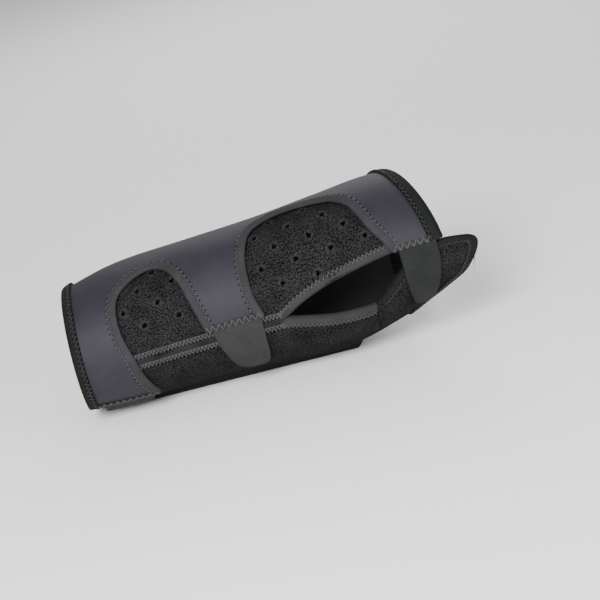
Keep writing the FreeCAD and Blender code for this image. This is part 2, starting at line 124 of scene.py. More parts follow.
def follow(points, pitch=0.8):
    """Even samples of the smooth line through pattern points: stations, angles, inward normals."""
    p = np.array(points, float) * (1, ROUND)
    gaps = np.r_[0, np.cumsum(np.linalg.norm(np.diff(p, axis=0), axis=1))]
    fine = np.linspace(0, gaps[-1], 60 * len(points))
    q = np.stack([smooth(gaps, p[:, k], fine) for k in (0, 1)], -1)
    run = np.r_[0, np.cumsum(np.linalg.norm(np.diff(q, axis=0), axis=1))]
    even = np.linspace(0, run[-1], max(3, int(run[-1] / pitch)) + 1)
    q = np.stack([np.interp(even, run, q[:, k]) for k in (0, 1)], -1)
    way = np.gradient(q, axis=0)
    way /= np.linalg.norm(way, axis=1)[:, None]
    return q[:, 0], q[:, 1] / ROUND, np.stack([-way[:, 1], way[:, 0]], -1), even


def ripple(s, a, scale, seed=0.0):
    """Soft uneven swelling of worn cloth, from about -1 to 1."""
    x, y = s / scale + seed, a * ROUND / scale - seed
    return (np.sin(1.7 * x + 2.1 * np.sin(0.6 * y + seed)) * np.cos(1.3 * y - 1.4 * np.sin(0.5 * x))
            + 0.5 * np.sin(3.1 * x + 2.3 * y + 2 * np.sin(0.9 * y)) + 0.3 * np.cos(5.3 * y - 2.9 * x)) / 1.6


def finish_piece(bm, name, material, smooth_faces=True):
    """Turns a built mesh into a piece of the scene, with its sharp edges marked."""
    for edge in bm.edges:
        edge.smooth = edge.calc_face_angle(0) < SHARP
    mesh = bpy.data.meshes.new(name)
    bm.to_mesh(mesh)
    bm.free()
    mesh.polygons.foreach_set("use_smooth", [smooth_faces] * len(mesh.polygons))
    return place_piece(name, mesh, material)


def place_piece(name, mesh, material):
    """Puts a finished mesh into the scene in one cloth or thread, under that finish's slot."""
    mesh.materials.clear()
    mesh.materials.append(material)
    piece = bpy.data.objects.new(name, mesh)
    bpy.context.scene.collection.objects.link(piece)
    return piece


def pattern_grid(columns, rows, lay):
    """Grid wrapped on the arm by lay(u, v) -> s, a, h, flat x, flat y, wear_and_painted_light; that value
    lightens the nap for rubbing and painted highlight, and darkens it for painted shade.
    """
    bm = bmesh.new()
    bmesh.ops.create_grid(bm, x_segments=columns, y_segments=rows, size=0.5)
    uv_layer = bm.loops.layers.uv.new("cloth")
    bm.verts.index_update()
    unit = np.array([v.co[:2] for v in bm.verts]) + 0.5
    s, a, h, x, y, wear_and_painted_light = lay(unit[:, 0], unit[:, 1])
    painted_light_and_wear = bm.verts.layers.float.new("painted_light_and_wear")
    for vert, place, amount in zip(bm.verts, on_arm(s, a, h), wear_and_painted_light):
        vert.co, vert[painted_light_and_wear] = place, amount
    for face in bm.faces:
        for loop in face.loops:
            loop[uv_layer].uv = (x[loop.vert.index], y[loop.vert.index])
    return bm


def thicken(bm, thick, edge_round):
    """Gives a laid grid its thickness towards the arm, and rounds the cut edges."""
    bmesh.ops.recalc_face_normals(bm, faces=bm.faces)
    middle = next(f for f in bm.faces)
    centre = Vector((middle.calc_center_median().x, 0, MIDDLE_HEIGHT))
    if middle.normal.dot(middle.calc_center_median() - centre) < 0:
        bmesh.ops.reverse_faces(bm, faces=bm.faces)
    bmesh.ops.solidify(bm, geom=bm.faces[:], thickness=thick * MM)
    bmesh.ops.recalc_face_normals(bm, faces=bm.faces)
    if edge_round:
        sharp = [e for e in bm.edges if e.is_manifold and e.calc_face_angle(0) > SHARP]
        bmesh.ops.bevel(bm, geom=sharp, offset=edge_round * MM, offset_type="OFFSET", segments=3, profile=0.5,
                        affect="EDGES", material=-1)


def cloth(name, material, s_limits, a_limits, height, thick, step=1.0, edge_round=0.25, middle=(90, 90),
          wear_and_painted_light=lambda s, a: 0 * s):
    """Cloth layer between limits that are functions: s_limits(a) and a_limits(s)."""
    mid = float(middle[0])
    span_s = float(np.diff(s_limits(np.float64(middle[1])))[0])
    span_a = float(abs(np.diff(a_limits(np.float64(mid)))[0])) * ROUND

    def lay(u, v):
        s = np.full_like(u, mid)
        for _ in range(8):
            low, high = a_limits(s)
            a = low + (high - low) * v
            first, last = s_limits(a)
            s = first + (last - first) * u
        return s, a, height(s, a), s, a * ROUND, wear_and_painted_light(s, a)

    bm = pattern_grid(max(4, int(span_s / step)), max(4, int(span_a / step)), lay)
    cut_area = sum(face.calc_area() for face in bm.faces)
    rows = [on_arm(*lay(np.full(40, u), np.linspace(0, 1, 40))[:3]) for u in np.linspace(0, 1, 9)]
    ranks = [on_arm(*lay(np.linspace(0, 1, 40), np.full(40, v))[:3]) for v in np.linspace(0, 1, 9)]
    thicken(bm, thick, edge_round)
    piece = finish_piece(bm, name, material)
    return piece


def tape(name, material, line, profile, pucker=0.0, pitch=2.7):
    """Folded tape swept along a pattern line; profile is a closed loop of (inward, height)."""
    s, a, inward, run = line
    profile = np.array(list(profile) + [profile[0]], float)
    columns, rows = len(s) - 1, len(profile) - 1

    def lay(u, v):
        i, j = np.rint(u * columns).astype(int), np.rint(v * rows).astype(int)
        across, height = profile[j].T
        crest = profile[:, 1].max()
        lift = pucker * np.cos(2 * math.pi * run[i] / pitch) * (height > crest - 0.6)
        at_s = s[i] + inward[i, 0] * across
        at_a = a[i] + inward[i, 1] * across / ROUND
        rub_and_painted_light = 0.5 * (height > crest - 0.2) * (1 + ripple(at_s, at_a, 6))
        return at_s, at_a, height + lift, run[i], across, rub_and_painted_light

    bm = pattern_grid(columns, rows, lay)
    bmesh.ops.remove_doubles(bm, verts=bm.verts, dist=1e-7)
    bmesh.ops.holes_fill(bm, edges=[e for e in bm.edges if e.is_boundary])
    bmesh.ops.recalc_face_normals(bm, faces=bm.faces)
    return finish_piece(bm, name, material)


def part_of(line, keep):
    """The stretch of a sampled line where keep is true, one sample longer so that stretches meet."""
    index = np.flatnonzero(keep)
    first, last = index[0], min(index[-1] + 1, len(line[0]) - 1)
    return tuple(values[first:last + 1] for values in line)


def sew(name, material, strokes, radius):
    """Thread laid along strokes of points, as one mesh."""
    data = bpy.data.curves.new(name, "CURVE")
    data.dimensions = "3D"
    data.bevel_depth, data.bevel_resolution, data.use_fill_caps = radius * MM, 1, True
    for stroke in strokes:
        spline = data.splines.new("POLY")
        spline.points.add(len(stroke) - 1)
        for point, place in zip(spline.points, stroke):
            point.co = (*place, 1)
    curve_object = bpy.data.objects.new(name + "_path", data)
    mesh = bpy.data.meshes.new_from_object(curve_object)
    bpy.data.objects.remove(curve_object)
    mesh.name = name
    mesh.shade_smooth()
    return place_piece(name, mesh, material)


def spaced(line, pitch, start=0.0):
    """Stations, angles and inward normals every pitch along a sampled line."""
    s, a, inward, run = line
    at = np.arange(run[0] + start, run[-1], pitch)
    return (np.interp(at, run, s), np.interp(at, run, a),
            np.stack([np.interp(at, run, inward[:, k]) for k in (0, 1)], -1))


def cover_stitch(name, material, line, inner, outer, height, pitch=2.7, radius=0.23):
    """Zigzag thread between two rows that run beside a line."""
    s, a, inward = spaced(line, pitch / 2, pitch / 4)
    strokes = []
    for k in range(len(s) - 1):
        rows = (inner, outer) if k % 2 else (outer, inner)
        t = np.linspace(0, 1, 5)
        across = rows[0] + (rows[1] - rows[0]) * t
        at_s = s[k] + (s[k + 1] - s[k]) * t
        at_a = a[k] + (a[k + 1] - a[k]) * t
        strokes.append(on_arm(at_s + inward[k, 0] * across, at_a + inward[k, 1] * across / ROUND,
                              height - 0.18 + 0.26 * np.sin(math.pi * t)))
    return sew(name, material, strokes, radius)


def run_stitch(name, material, line, across, height, pitch=2.7, length=0.62, radius=0.22):
    """Row of straight stitches beside a line."""
    s, a, inward, run = line
    strokes = []
    for at in np.arange(run[0] + pitch / 4, run[-1] - pitch * length, pitch):
        t = np.linspace(0, 1, 5)
        where = at + pitch * length * t
        n = [np.interp(where, run, inward[:, k]) for k in (0, 1)]
        strokes.append(on_arm(np.interp(where, run, s) + n[0] * across,
                              np.interp(where, run, a) + n[1] * across / ROUND,
                              height - 0.16 + 0.24 * np.sin(math.pi * t)))
    return sew(name, material, strokes, radius)


def needle_holes(name, material, line, across, height, pitch=2.7, radius=0.44):
    """Row of needle holes beside a line, as flat discs in near-black painted shade."""
    bm = bmesh.new()
    for s, a, inward in zip(*spaced(line, pitch, pitch / 2)):
        s, a = s + inward[0] * across, a + inward[1] * across / ROUND
        along, about, out = surface_axes(s, a, height)
        place = Matrix.Translation(Vector(on_arm(s, a, height)))
        turn = Matrix((along, about, out)).transposed().to_4x4()
        flat = Matrix.Diagonal((radius * MM, radius * MM * 0.8, 0.1 * MM, 1))
        bmesh.ops.create_uvsphere(bm, u_segments=8, v_segments=4, radius=1.0, matrix=place @ turn @ flat)
    return finish_piece(bm, name, material)


# ------------------------------------------------------------------ cloth materials
def look(name, dark, light, grain, contrast, bump, rough, sheen=0.05, ribs=None, on_pattern=True, metal=0.0,
         blotch=0.12):
    """Procedural finish: fine grain of a size in mm, ribs as (axis, pitch in mm, depth), slow blotches."""
    m = bpy.data.materials.new(name)
    m.use_nodes = True
    nodes, links = m.node_tree.nodes, m.node_tree.links
    shader = nodes["Principled BSDF"]
    if on_pattern:
        place = nodes.new("ShaderNodeUVMap")
        place.uv_map = "cloth"
        vector = place.outputs["UV"]
    else:
        place = nodes.new("ShaderNodeTexCoord")
        scaled = nodes.new("ShaderNodeVectorMath")
        scaled.operation = "SCALE"
        scaled.inputs["Scale"].default_value = 1000
        links.new(place.outputs["Object"], scaled.inputs[0])
        vector = scaled.outputs["Vector"]

    def noise_at(size, detail, roughness):
        n = nodes.new("ShaderNodeTexNoise")
        n.inputs["Scale"].default_value = 1 / size
        n.inputs["Detail"].default_value = detail
        n.inputs["Roughness"].default_value = roughness
        links.new(vector, n.inputs["Vector"])
        return n.outputs["Fac"]

    def sum_of(a, b, weight):
        n = nodes.new("ShaderNodeMath")
        n.operation = "MULTIPLY_ADD"
        links.new(b, n.inputs[0])
        n.inputs[1].default_value = weight
        links.new(a, n.inputs[2])
        return n.outputs[0]

    fine = noise_at(grain, 5, 0.65)
    loops = nodes.new("ShaderNodeTexVoronoi")
    loops.inputs["Scale"].default_value = 0.8 / grain
    links.new(vector, loops.inputs["Vector"])
    relief = sum_of(fine, loops.outputs["Distance"], 0.6)
    tone = sum_of(fine, noise_at(9.0, 2, 0.5), blotch / max(contrast, 0.05))
    if ribs:
        axis, pitch, depth = ribs
        split = nodes.new("ShaderNodeSeparateXYZ")
        links.new(vector, split.inputs[0])
        wave = nodes.new("ShaderNodeMath")
        wave.operation = "MULTIPLY"
        wave.inputs[1].default_value = 2 * math.pi / pitch
        links.new(split.outputs[axis], wave.inputs[0])
        sine = nodes.new("ShaderNodeMath")
        sine.operation = "SINE"
        links.new(wave.outputs[0], sine.inputs[0])
        relief = sum_of(relief, sine.outputs[0], depth)
        tone = sum_of(tone, sine.outputs[0], depth * 0.35)
    # attribute with rubbing on tape crests plus painted highlight and painted shade round the vents; it
    # shifts the base colour
    rub_and_painted_light = nodes.new("ShaderNodeAttribute")
    rub_and_painted_light.attribute_name = "painted_light_and_wear"
    tone = sum_of(tone, rub_and_painted_light.outputs["Fac"], 0.35)
    middle = 0.5 + 0.5 * blotch / max(contrast, 0.05)
    spread = nodes.new("ShaderNodeMapRange")
    spread.inputs["From Min"].default_value = middle - 0.5 * max(0.1, 1 - contrast)
    spread.inputs["From Max"].default_value = middle + 0.5 * max(0.1, 1 - contrast)
    links.new(tone, spread.inputs["Value"])
    mix = nodes.new("ShaderNodeMix")
    mix.data_type = "RGBA"
    mix.inputs["A"].default_value = (*dark, 1)
    mix.inputs["B"].default_value = (*light, 1)
    links.new(spread.outputs["Result"], mix.inputs["Factor"])
    links.new(mix.outputs["Result"], shader.inputs["Base Color"])
    push = nodes.new("ShaderNodeBump")
    push.inputs["Strength"].default_value = bump
    push.inputs["Distance"].default_value = grain * 0.5 * MM
    links.new(relief, push.inputs["Height"])
    links.new(push.outputs["Normal"], shader.inputs["Normal"])
    shader.inputs["Roughness"].default_value = rough
    shader.inputs["Metallic"].default_value = metal
    shader.inputs["Sheen Weight"].default_value = sheen
    shader.inputs["Sheen Roughness"].default_value = 0.45
    shader.inputs["Specular IOR Level"].default_value = 0.5 if metal else 0.6 * (1 - rough)
    return m


SHELL_CLOTH = look("shell_laminate", (0.010, 0.0085, 0.0135), (0.023, 0.020, 0.029), 0.55, 0.35, 0.3,
                   0.62, 0.0, ("Y", 0.9, 0.08))
LOOP_PILE = look("loop_pile", (0.0005, 0.0005, 0.0005), (0.025, 0.0245, 0.026), 0.9, 0.78, 1.0, 0.95, 0.0)
LINING_KNIT = look("lining_knit", (0.010, 0.010, 0.011), (0.030, 0.030, 0.032), 0.5, 0.4, 0.6, 0.9, 0.02,
                   ("X", 1.1, 0.3))
EDGE_TAPE = look("edge_tape", (0.014, 0.0143, 0.0155), (0.029, 0.0295, 0.0315), 0.4, 0.3, 0.35, 0.85, 0.01,
                 ("X", 0.6, 0.15))
RIM_TAPE = look("rim_tape", (0.0025, 0.0035, 0.0032), (0.009, 0.0105, 0.0098), 0.45, 0.4, 0.6, 0.85, 0.01,
                ("X", 0.8, 0.3))
SEAM_TAPE = look("seam_tape", (0.003, 0.003, 0.0032), (0.018, 0.018, 0.019), 0.6, 0.5, 0.8, 0.9, 0.02)
LIGHT_TAB = look("light_tab", (0.014, 0.0145, 0.0143), (0.036, 0.037, 0.0365), 0.7, 0.5, 0.6, 0.88, 0.02)
DARK_TAB = look("dark_tab", (0.006, 0.0068, 0.0064), (0.021, 0.0222, 0.0215), 0.7, 0.5, 0.6, 0.85, 0.03)
POCKET_CLOTH = look("pocket_cloth", (0.005, 0.005, 0.0055), (0.016, 0.016, 0.0175), 0.6, 0.4, 0.7, 0.85, 0.02,
                    ("Y", 0.8, 0.4))
HOOKS = look("hook_tape", (0.004, 0.004, 0.004), (0.014, 0.014, 0.014), 0.6, 0.7, 1.0, 0.7, 0.0,
             ("X", 1.0, 0.8))
GREY_THREAD = look("grey_thread", (0.022, 0.022, 0.024), (0.062, 0.063, 0.067), 0.25, 0.4, 0.5, 0.6, 0.05,
                   on_pattern=False)
DARK_THREAD = look("dark_thread", (0.004, 0.0048, 0.0045), (0.018, 0.0195, 0.019), 0.25, 0.4, 0.5, 0.6, 0.05,
                   on_pattern=False)
# near-black painted shade standing in for the inside of needle holes and vent holes
PAINTED_HOLE_SHADE = look("painted_hole_shade", (0.0005, 0.0005, 0.0005), (0.002, 0.002, 0.002), 0.3, 0.4, 0.2, 1.0, 0.0,
                on_pattern=False)
STAY_METAL = look("stay_metal", (0.55, 0.56, 0.58), (0.72, 0.73, 0.75), 1.2, 0.3, 0.15, 0.38, 0.0,
                  ("X", 0.35, 0.05), False, 1.0)
STAY_PLASTIC = look("stay_plastic", (0.62, 0.62, 0.60), (0.74, 0.74, 0.72), 1.5, 0.3, 0.1, 0.45, 0.0,
                    on_pattern=False)


# ------------------------------------------------------------------ joining pieces to the sleeve; strap and tab cloth baked in place
def on_sleeve(piece, *nodes):
    """Rides a piece on the sleeve, in place of the named CAD nodes."""
    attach(piece, "sleeve")
    if nodes:
        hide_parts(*nodes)
    return piece


def fold(joint_name, station, root, drop):
    """Start of a hinge, and the unit vector down the arm from it, square to its axis."""
    joint = next(j for j in frame["record"]["behaviour"]["joints"] if j["name"] == joint_name)
    axis, start = Vector(joint["axis"]).normalized(), Vector(joint["pos_m"])
    down = Vector(on_arm(station, root - drop, 5) - on_arm(station, root, 5))
    return start, (down - down.dot(axis) * axis).normalized()


def on_strap(piece, name, *nodes):
    """Cloth of a strap, in place of the named CAD nodes, with its transform baked where it lies; the hinge
    start and the way down the arm are found but not used.
    """
    start, down = fold(f"{name}_strap_lift", STRAP_MIDDLES[name], ROOTS[name], 8)
    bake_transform(piece)
    if nodes:
        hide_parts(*nodes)
    return piece


def on_tab(piece, name, *nodes):
    """Cloth of a tab, in place of the named CAD nodes, with its transform baked where it lies; the hinge
    start and the way along the arm are found but not used.
    """
    root = TABS[name][0]
    middle = 0.5 * (np.interp(root, *TABS[name][2]) + np.interp(root, *TABS[name][3]))
    start, down = fold(f"{name}_tab_peel", middle, root, 6)
    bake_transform(piece)
    if nodes:
        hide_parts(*nodes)
    return piece


# ------------------------------------------------------------------ sleeve
VENT_START, VENT_PITCH = 11.6, 17.6     # first station and spacing along the arm (mm)
VENT_ANGLE, VENT_TURN = 22.0, 15        # first row and spacing round the arm (degrees)
VENTS = np.array([(VENT_START + ((row + 1) % 2) * (VENT_PITCH / 2) + k * VENT_PITCH,
                   VENT_ANGLE + VENT_TURN * row) for row in range(10) for k in range(10)])
VENTS = VENTS[(VENTS[:, 1] > smooth(*np.array(DORSAL_EDGE, float).T, VENTS[:, 0]) + 10) & (VENTS[:, 0] < 164)]


def swell(s, a, centre, reach):
    """Rounded rise, 1 at its centre and 0 at its reach in station and angle."""
    u, v = (s - centre[0]) / reach[0], (a - centre[1]) / reach[1]
    return np.clip(1 - u * u, 0, 1) * np.clip(1 - v * v, 0, 1)


def dorsal_height(s, a):
    """Pile surface: it swells where the bays leave it free, and dips at each vent inside a raised ring."""
    h = 2.9 + 0.12 * ripple(s, a, 16, 2.0)
    h += 1.1 * swell(s, a, (42, 24), (16, 42)) + 1.2 * swell(s, a, (121, 45), (29, 40))
    for vent_s, vent_a in VENTS:
        near = np.abs(s - vent_s) < 5
        d = np.hypot(s[near] - vent_s, (a[near] - vent_a) * ROUND)
        h[near] += 0.5 * np.exp(-((d - 2.1) / 0.85) ** 2) - 1.0 * np.exp(-(d / 1.0) ** 2)
    return h


def vent_highlight_and_shade(s, a):
    """Painted highlight on the raised ring round each vent, patchy round it, and painted shade in the dip
    inside it.
    """
    painted_light_and_wear = np.zeros_like(s)
    for vent_s, vent_a in VENTS:
        near = np.abs(s - vent_s) < 5
        d = np.hypot(s[near] - vent_s, (a[near] - vent_a) * ROUND)
        around = np.arctan2((a[near] - vent_a) * ROUND, s[near] - vent_s)
        patchy = 0.55 + 0.45 * np.cos(around * 5 + vent_s) * np.cos(around * 2 - vent_a)
        painted_light_and_wear[near] += 0.7 * patchy * np.exp(-((d - 1.7) / 0.7) ** 2) - 0.8 * np.exp(-(d / 1.2) ** 2)
    return painted_light_and_wear


def palmar_height(s, a):
    """Pile surface over the palm side."""
    return 2.85 + 0.22 * ripple(s, a, 19, 0.7) + 0.6 * swell(s, a, (125, 320), (34, 45))


def edge_at(line):
    """Angle of a pattern edge as a function of station."""
    px, py = np.array(line, float).T
    return lambda s: np.interp(s, px, py)


dorsal_edge = edge_at(DORSAL_EDGE)
palmar_edge = edge_at(PALMAR_EDGE)


def palm_end(a):
    """Station of the palm rim, which steps back beside the tongue."""
    return np.interp(a, (304, 308), (169.6, 149.6))


# the pile's colour carries the painted highlight and painted shade round the vents
on_sleeve(cloth("dorsal_pile", LOOP_PILE, lambda a: (0.6, knuckle_line(a) - 0.5),
                lambda s: (dorsal_edge(s), ULNAR - 0.1), dorsal_height, 2.0, 0.8, 0.0, wear_and_painted_light=vent_highlight_and_shade),
          "dorsal_sleeve_panel")
on_sleeve(cloth("palmar_pile", LOOP_PILE, lambda a: (0.6, palm_end(a)),
                lambda s: (ULNAR + 0.1, 360 + palmar_edge(s)), palmar_height, 2.0, 1.0, 0.0, (80, 260)),
          "palmar_sleeve_panel")
on_sleeve(cloth("dorsal_lining_cloth", LINING_KNIT, lambda a: (0.8, knuckle_line(a) - 0.6),
                lambda s: (dorsal_edge(s), ULNAR - 0.1), lambda s, a: LINING_TOP + 0 * s,
                LINING_THICK, 2.0, 0.0), "dorsal_lining")
on_sleeve(cloth("palmar_lining_cloth", LINING_KNIT, lambda a: (0.8, palm_end(a)),
                lambda s: (ULNAR + 0.1, 360 + palmar_edge(s)), lambda s, a: LINING_TOP + 0 * s,
                LINING_THICK, 2.0, 0.0, (80, 260)),
          "palmar_lining")

# tongue between thumb and index finger
TONGUE_TOP = ([149.7, 158, 166, 176, 187, 194, 199, 202.5, 203.8],
              [-20, -10, 0, 10, 15.5, 14.8, 13.5, 10.5, 6])
TONGUE_LOW = ([149.7, 172, 187, 196, 200, 203, 203.8], [-53.8, -53.8, -40, -31, -19, -5, 3])
on_sleeve(cloth("thumb_web_tongue_pile", LOOP_PILE, lambda a: (149.7, 203.8),
                lambda s: (np.interp(s, *TONGUE_LOW), np.interp(s, *TONGUE_TOP)),
                lambda s, a: 2.9 + 0.15 * ripple(s, a, 14, 3.0), 2.1, 0.9, 0.5, (180, -20)),
          "thumb_web_tongue")

# painted shade of the vent punch holes: small dark stars at the bottom of each dip
stars = bmesh.new()
for vent_s, vent_a in VENTS:
    level = float(dorsal_height(np.array([vent_s]), np.array([vent_a]))[0]) + 0.12
    along, about, out = surface_axes(vent_s, vent_a, level)
    turn = Matrix((along, about, out)).transposed().to_4x4()
    centre = Vector(on_arm(vent_s, vent_a, level))
    reach = (0.65 + 0.25 * math.sin(vent_s * 1.7 + vent_a)) * MM
    ring = bmesh.ops.create_circle(stars, cap_ends=True, segments=12, radius=reach,
                                   matrix=Matrix.Translation(centre) @ turn)["verts"]
    for k, vert in enumerate(ring):
        if k % 2:
            vert.co = centre + (vert.co - centre) * 0.45
on_sleeve(finish_piece(stars, "vent_hole_painted_shade", PAINTED_HOLE_SHADE, False))

# ------------------------------------------------------------------ sleeve seams and bindings
# sections of folded tape: distance inward from the edge, height (mm)
SLEEVE_FOLD = [(4.1, 2.95), (3.8, 3.3), (2.6, 3.52), (1.0, 3.52), (0.0, 3.25), (-0.6, 2.5),
               (-0.75, 1.4), (-0.6, 0.3), (0.0, -0.4), (2.0, -0.5), (3.8, -0.3), (4.0, 0.4)]
SHELL_FOLD = [(3.7, 5.0), (3.45, 5.5), (2.6, 5.72), (1.2, 5.76), (0.2, 5.6), (-0.4, 5.2),
              (-0.55, 4.6), (-0.4, 4.05), (0.2, 3.72), (1.8, 3.68), (3.4, 3.9)]
RIM_FOLD = [(4.7, 5.0), (4.4, 5.65), (3.2, 6.05), (1.5, 6.12), (0.3, 5.85), (-0.5, 5.3),
            (-0.7, 4.6), (-0.5, 4.0), (0.2, 3.72), (2.2, 3.68), (4.4, 3.9)]


def wider(profile, by):
    """Tape section with its inward side stretched by a factor."""
    return [(x * by if x > 0 else x, h) for x, h in profile]


ulnar_line = follow([(4.6, ULNAR), (160, ULNAR)])
radial_line = follow([(4.8, SEAM), (60, SEAM), (104.3, SEAM)])
BAND = [(-4.0, 2.9), (-3.8, 3.22), (-2, 3.4), (0, 3.44), (2, 3.4), (3.8, 3.22), (4.0, 2.9), (0, 2.8)]
on_sleeve(tape("ulnar_tape", SEAM_TAPE, ulnar_line, BAND), "ulnar_seam_tape")
on_sleeve(cover_stitch("ulnar_stitch", GREY_THREAD, ulnar_line, -3.0, 3.0, 3.5))
on_sleeve(tape("radial_tape", SEAM_TAPE, radial_line, wider([(-x, h) for x, h in BAND], 1.2)),
          "radial_seam_tape")
for inner, outer in ((-4.6, -2.0), (1.6, 4.2)):
    on_sleeve(cover_stitch(f"radial_stitch_{inner:.0f}", GREY_THREAD, radial_line, inner, outer, 3.62, 1.9,
                           0.27))
    on_sleeve(run_stitch(f"radial_chain_{inner:.0f}", GREY_THREAD, radial_line, outer, 3.6, 1.9, 0.8, 0.24))
    on_sleeve(needle_holes(f"radial_holes_{inner:.0f}", PAINTED_HOLE_SHADE, radial_line, inner, 3.5, 1.9))

thumb_dorsal = follow([p for p in DORSAL_EDGE if 103 <= p[0] < 180] + [(186.5, 22.6)])
thumb_palmar = follow([p for p in PALMAR_EDGE if p[0] >= 103][::-1])
on_sleeve(tape("thumb_fold_dorsal", EDGE_TAPE, thumb_dorsal, SLEEVE_FOLD, 0.06), "thumb_binding_dorsal")
on_sleeve(tape("thumb_fold_palmar", EDGE_TAPE, thumb_palmar, SLEEVE_FOLD, 0.06), "thumb_binding_palmar")
for name, line in (("dorsal", thumb_dorsal), ("palmar", thumb_palmar)):
    on_sleeve(cover_stitch(f"thumb_stitch_{name}", GREY_THREAD, line, 2.7, 4.4, 3.52, 2.2, 0.25))
    on_sleeve(needle_holes(f"thumb_needle_holes_{name}", PAINTED_HOLE_SHADE, line, 3.5, 3.55, 2.2))

tongue_line = follow([(170, -180), (170, -150), (170, -120), (170, -90), (170.5, -68), (174, -54),
                      (187, -40.5), (195.5, -31.5), (200, -18.5), (203, -5), (203.9, 4.5), (202.3, 10.8),
                      (198.5, 13.8), (187, 15.8), (176, 10.4), (166, 0.4), (158, -9.6), (152, -17.4)])
on_sleeve(tape("palm_and_tongue_fold", RIM_TAPE, tongue_line, wider(SLEEVE_FOLD, 1.15), 0.06),
          "palm_rim_binding", "tongue_binding")
on_sleeve(cover_stitch("palm_and_tongue_stitch", DARK_THREAD, tongue_line, 3.0, 4.5, 3.6, 2.2))

forearm_edge = follow([(0, 353.7), (0, 300), (0, 240), (0, 180), (0, 120), (0, 60), (0, -5.7)])
on_sleeve(tape("forearm_rim_fold", RIM_TAPE, forearm_edge, wider(SLEEVE_FOLD, 1.12), 0.06),
          "forearm_rim_binding")
on_sleeve(cover_stitch("forearm_rim_stitch", DARK_THREAD, forearm_edge, 1.2, 3.9, 3.62))
knuckle_edge = follow([(float(knuckle_line(a)) + 0.1, a) for a in range(24, 181, 12)]
                      + [(float(knuckle_line(180)), 180)])
on_sleeve(tape("knuckle_rim_fold", RIM_TAPE, knuckle_edge, wider(SLEEVE_FOLD, 1.5), 0.06),
          "knuckle_rim_binding")

# ------------------------------------------------------------------ shell and straps
forearm_bay, hand_bay = follow(FOREARM_BAY), follow(HAND_BAY)


def side_of(line, first_half):
    """Angle to station along one side of a bay, from its top down."""
    top = int(np.argmax(line[1]))
    if first_half:
        s, a = line[0][:top + 1], line[1][:top + 1]
    else:
        s, a = line[0][top:][::-1], line[1][top:][::-1]
    return lambda at: np.interp(at, a, s)


# stations of each strap's two long sides, by angle
NEAR = {"forearm": lambda a: 0 * a, "wrist": side_of(forearm_bay, False), "hand": side_of(hand_bay, False)}
FAR = {"forearm": side_of(forearm_bay, True), "wrist": side_of(hand_bay, True), "hand": knuckle_line}


def shell_edge(s):
    """Lower edge of the shell's back: the strap roots, and the crowns of the two bays."""
    edge = np.where(s > 120, 72.0, 60.0)
    for line, first, last in ((forearm_bay, 60, 60), (hand_bay, 60, 72)):
        top = int(np.argmax(line[1]))
        low = np.flatnonzero(line[1][:top] >= first)[0]
        high = top + np.flatnonzero(line[1][top:] >= last)[-1]
        inside = (s > line[0][low]) & (s < line[0][high])
        edge = np.where(inside, np.interp(s, line[0][low:high + 1], line[1][low:high + 1]), edge)
    return edge


def shell_height(s, a):
    """Outer face of the shell, with the slow waves of laminated cloth."""
    drape = 0.20 * ripple(s, a, 26, 1.3) + 0.10 * ripple(s, a, 9, 4.1) * swell(s, a, (60, 62), (70, 30))
    return SHELL_TOP + drape


on_sleeve(cloth("shell_back", SHELL_CLOTH, lambda a: (0.3, knuckle_line(a) - 0.3),
                lambda s: (shell_edge(s), ULNAR), shell_height, SHELL_THICK, 0.7, 0.0), "dorsal_shell")
for name in ("forearm", "wrist", "hand"):
    on_strap(cloth(f"{name}_strap_cloth", SHELL_CLOTH, lambda a, n=name: (NEAR[n](a) + 0.2, FAR[n](a) - 0.2),
                   lambda s, n=name: (ENDS[n] + 0 * s, ROOTS[n] + 0 * s), shell_height, SHELL_THICK, 0.7, 0.0,
                   (0.5 * (NEAR[name](40) + FAR[name](40)), 30)), name, f"{name}_strap")


def bind(label, line, tape_look, fold, owners, stitch_rows, holes):
    """Binding of one long shell edge, in a stretch for each of a strap, the shell and the next strap; the
    shell's stretch rides on the sleeve.
    """
    thread = GREY_THREAD if tape_look is EDGE_TAPE else DARK_THREAD
    for owner, keep, nodes in owners:
        stretch = part_of(line, keep)
        label_here = f"{label}_{owner}"
        pieces = [tape(f"{label_here}_fold", tape_look, stretch, fold, 0.07)]
        top = 5.35 if tape_look is EDGE_TAPE else max(h for _, h in fold) + 0.05
        pieces.append(cover_stitch(f"{label_here}_stitch", thread, stretch, *stitch_rows, top))
        for row in holes:
            height = 5.12 if row > fold[0][0] else top - 0.1
            pieces.append(needle_holes(f"{label_here}_holes_{row:.0f}", PAINTED_HOLE_SHADE, stretch, row, height))
        for k, piece in enumerate(pieces):
            if owner == "sleeve":
                on_sleeve(piece, *(nodes if k == 0 else ()))
            else:
                on_strap(piece, owner, *(nodes if k == 0 else ()))


top1, top2 = np.argmax(forearm_bay[1]), np.argmax(hand_bay[1])
before1, before2 = np.arange(len(forearm_bay[1])) < top1, np.arange(len(hand_bay[1])) < top2
bind("forearm_bay", forearm_bay, EDGE_TAPE, SHELL_FOLD,
     [("forearm", before1 & (forearm_bay[1] < 60), ["forearm_strap_binding"]),
      ("sleeve", forearm_bay[1] >= 60, ["forearm_bay_binding"]),
      ("wrist", ~before1 & (forearm_bay[1] < 60), ["wrist_strap_binding"])], (2.6, 4.5), (4.5, 2.7))
bind("hand_bay", hand_bay, EDGE_TAPE, SHELL_FOLD,
     [("wrist", before2 & (hand_bay[1] < 60), []),
      ("sleeve", (before2 & (hand_bay[1] >= 60)) | (~before2 & (hand_bay[1] >= 72)), ["hand_bay_binding"]),
      ("hand", ~before2 & (hand_bay[1] < 72), ["hand_strap_binding"])], (2.6, 4.5), (4.5, 2.7))
shell_rim = follow([(0, 180), (0, 120), (0, 60), (0, 20), (0, -44)])
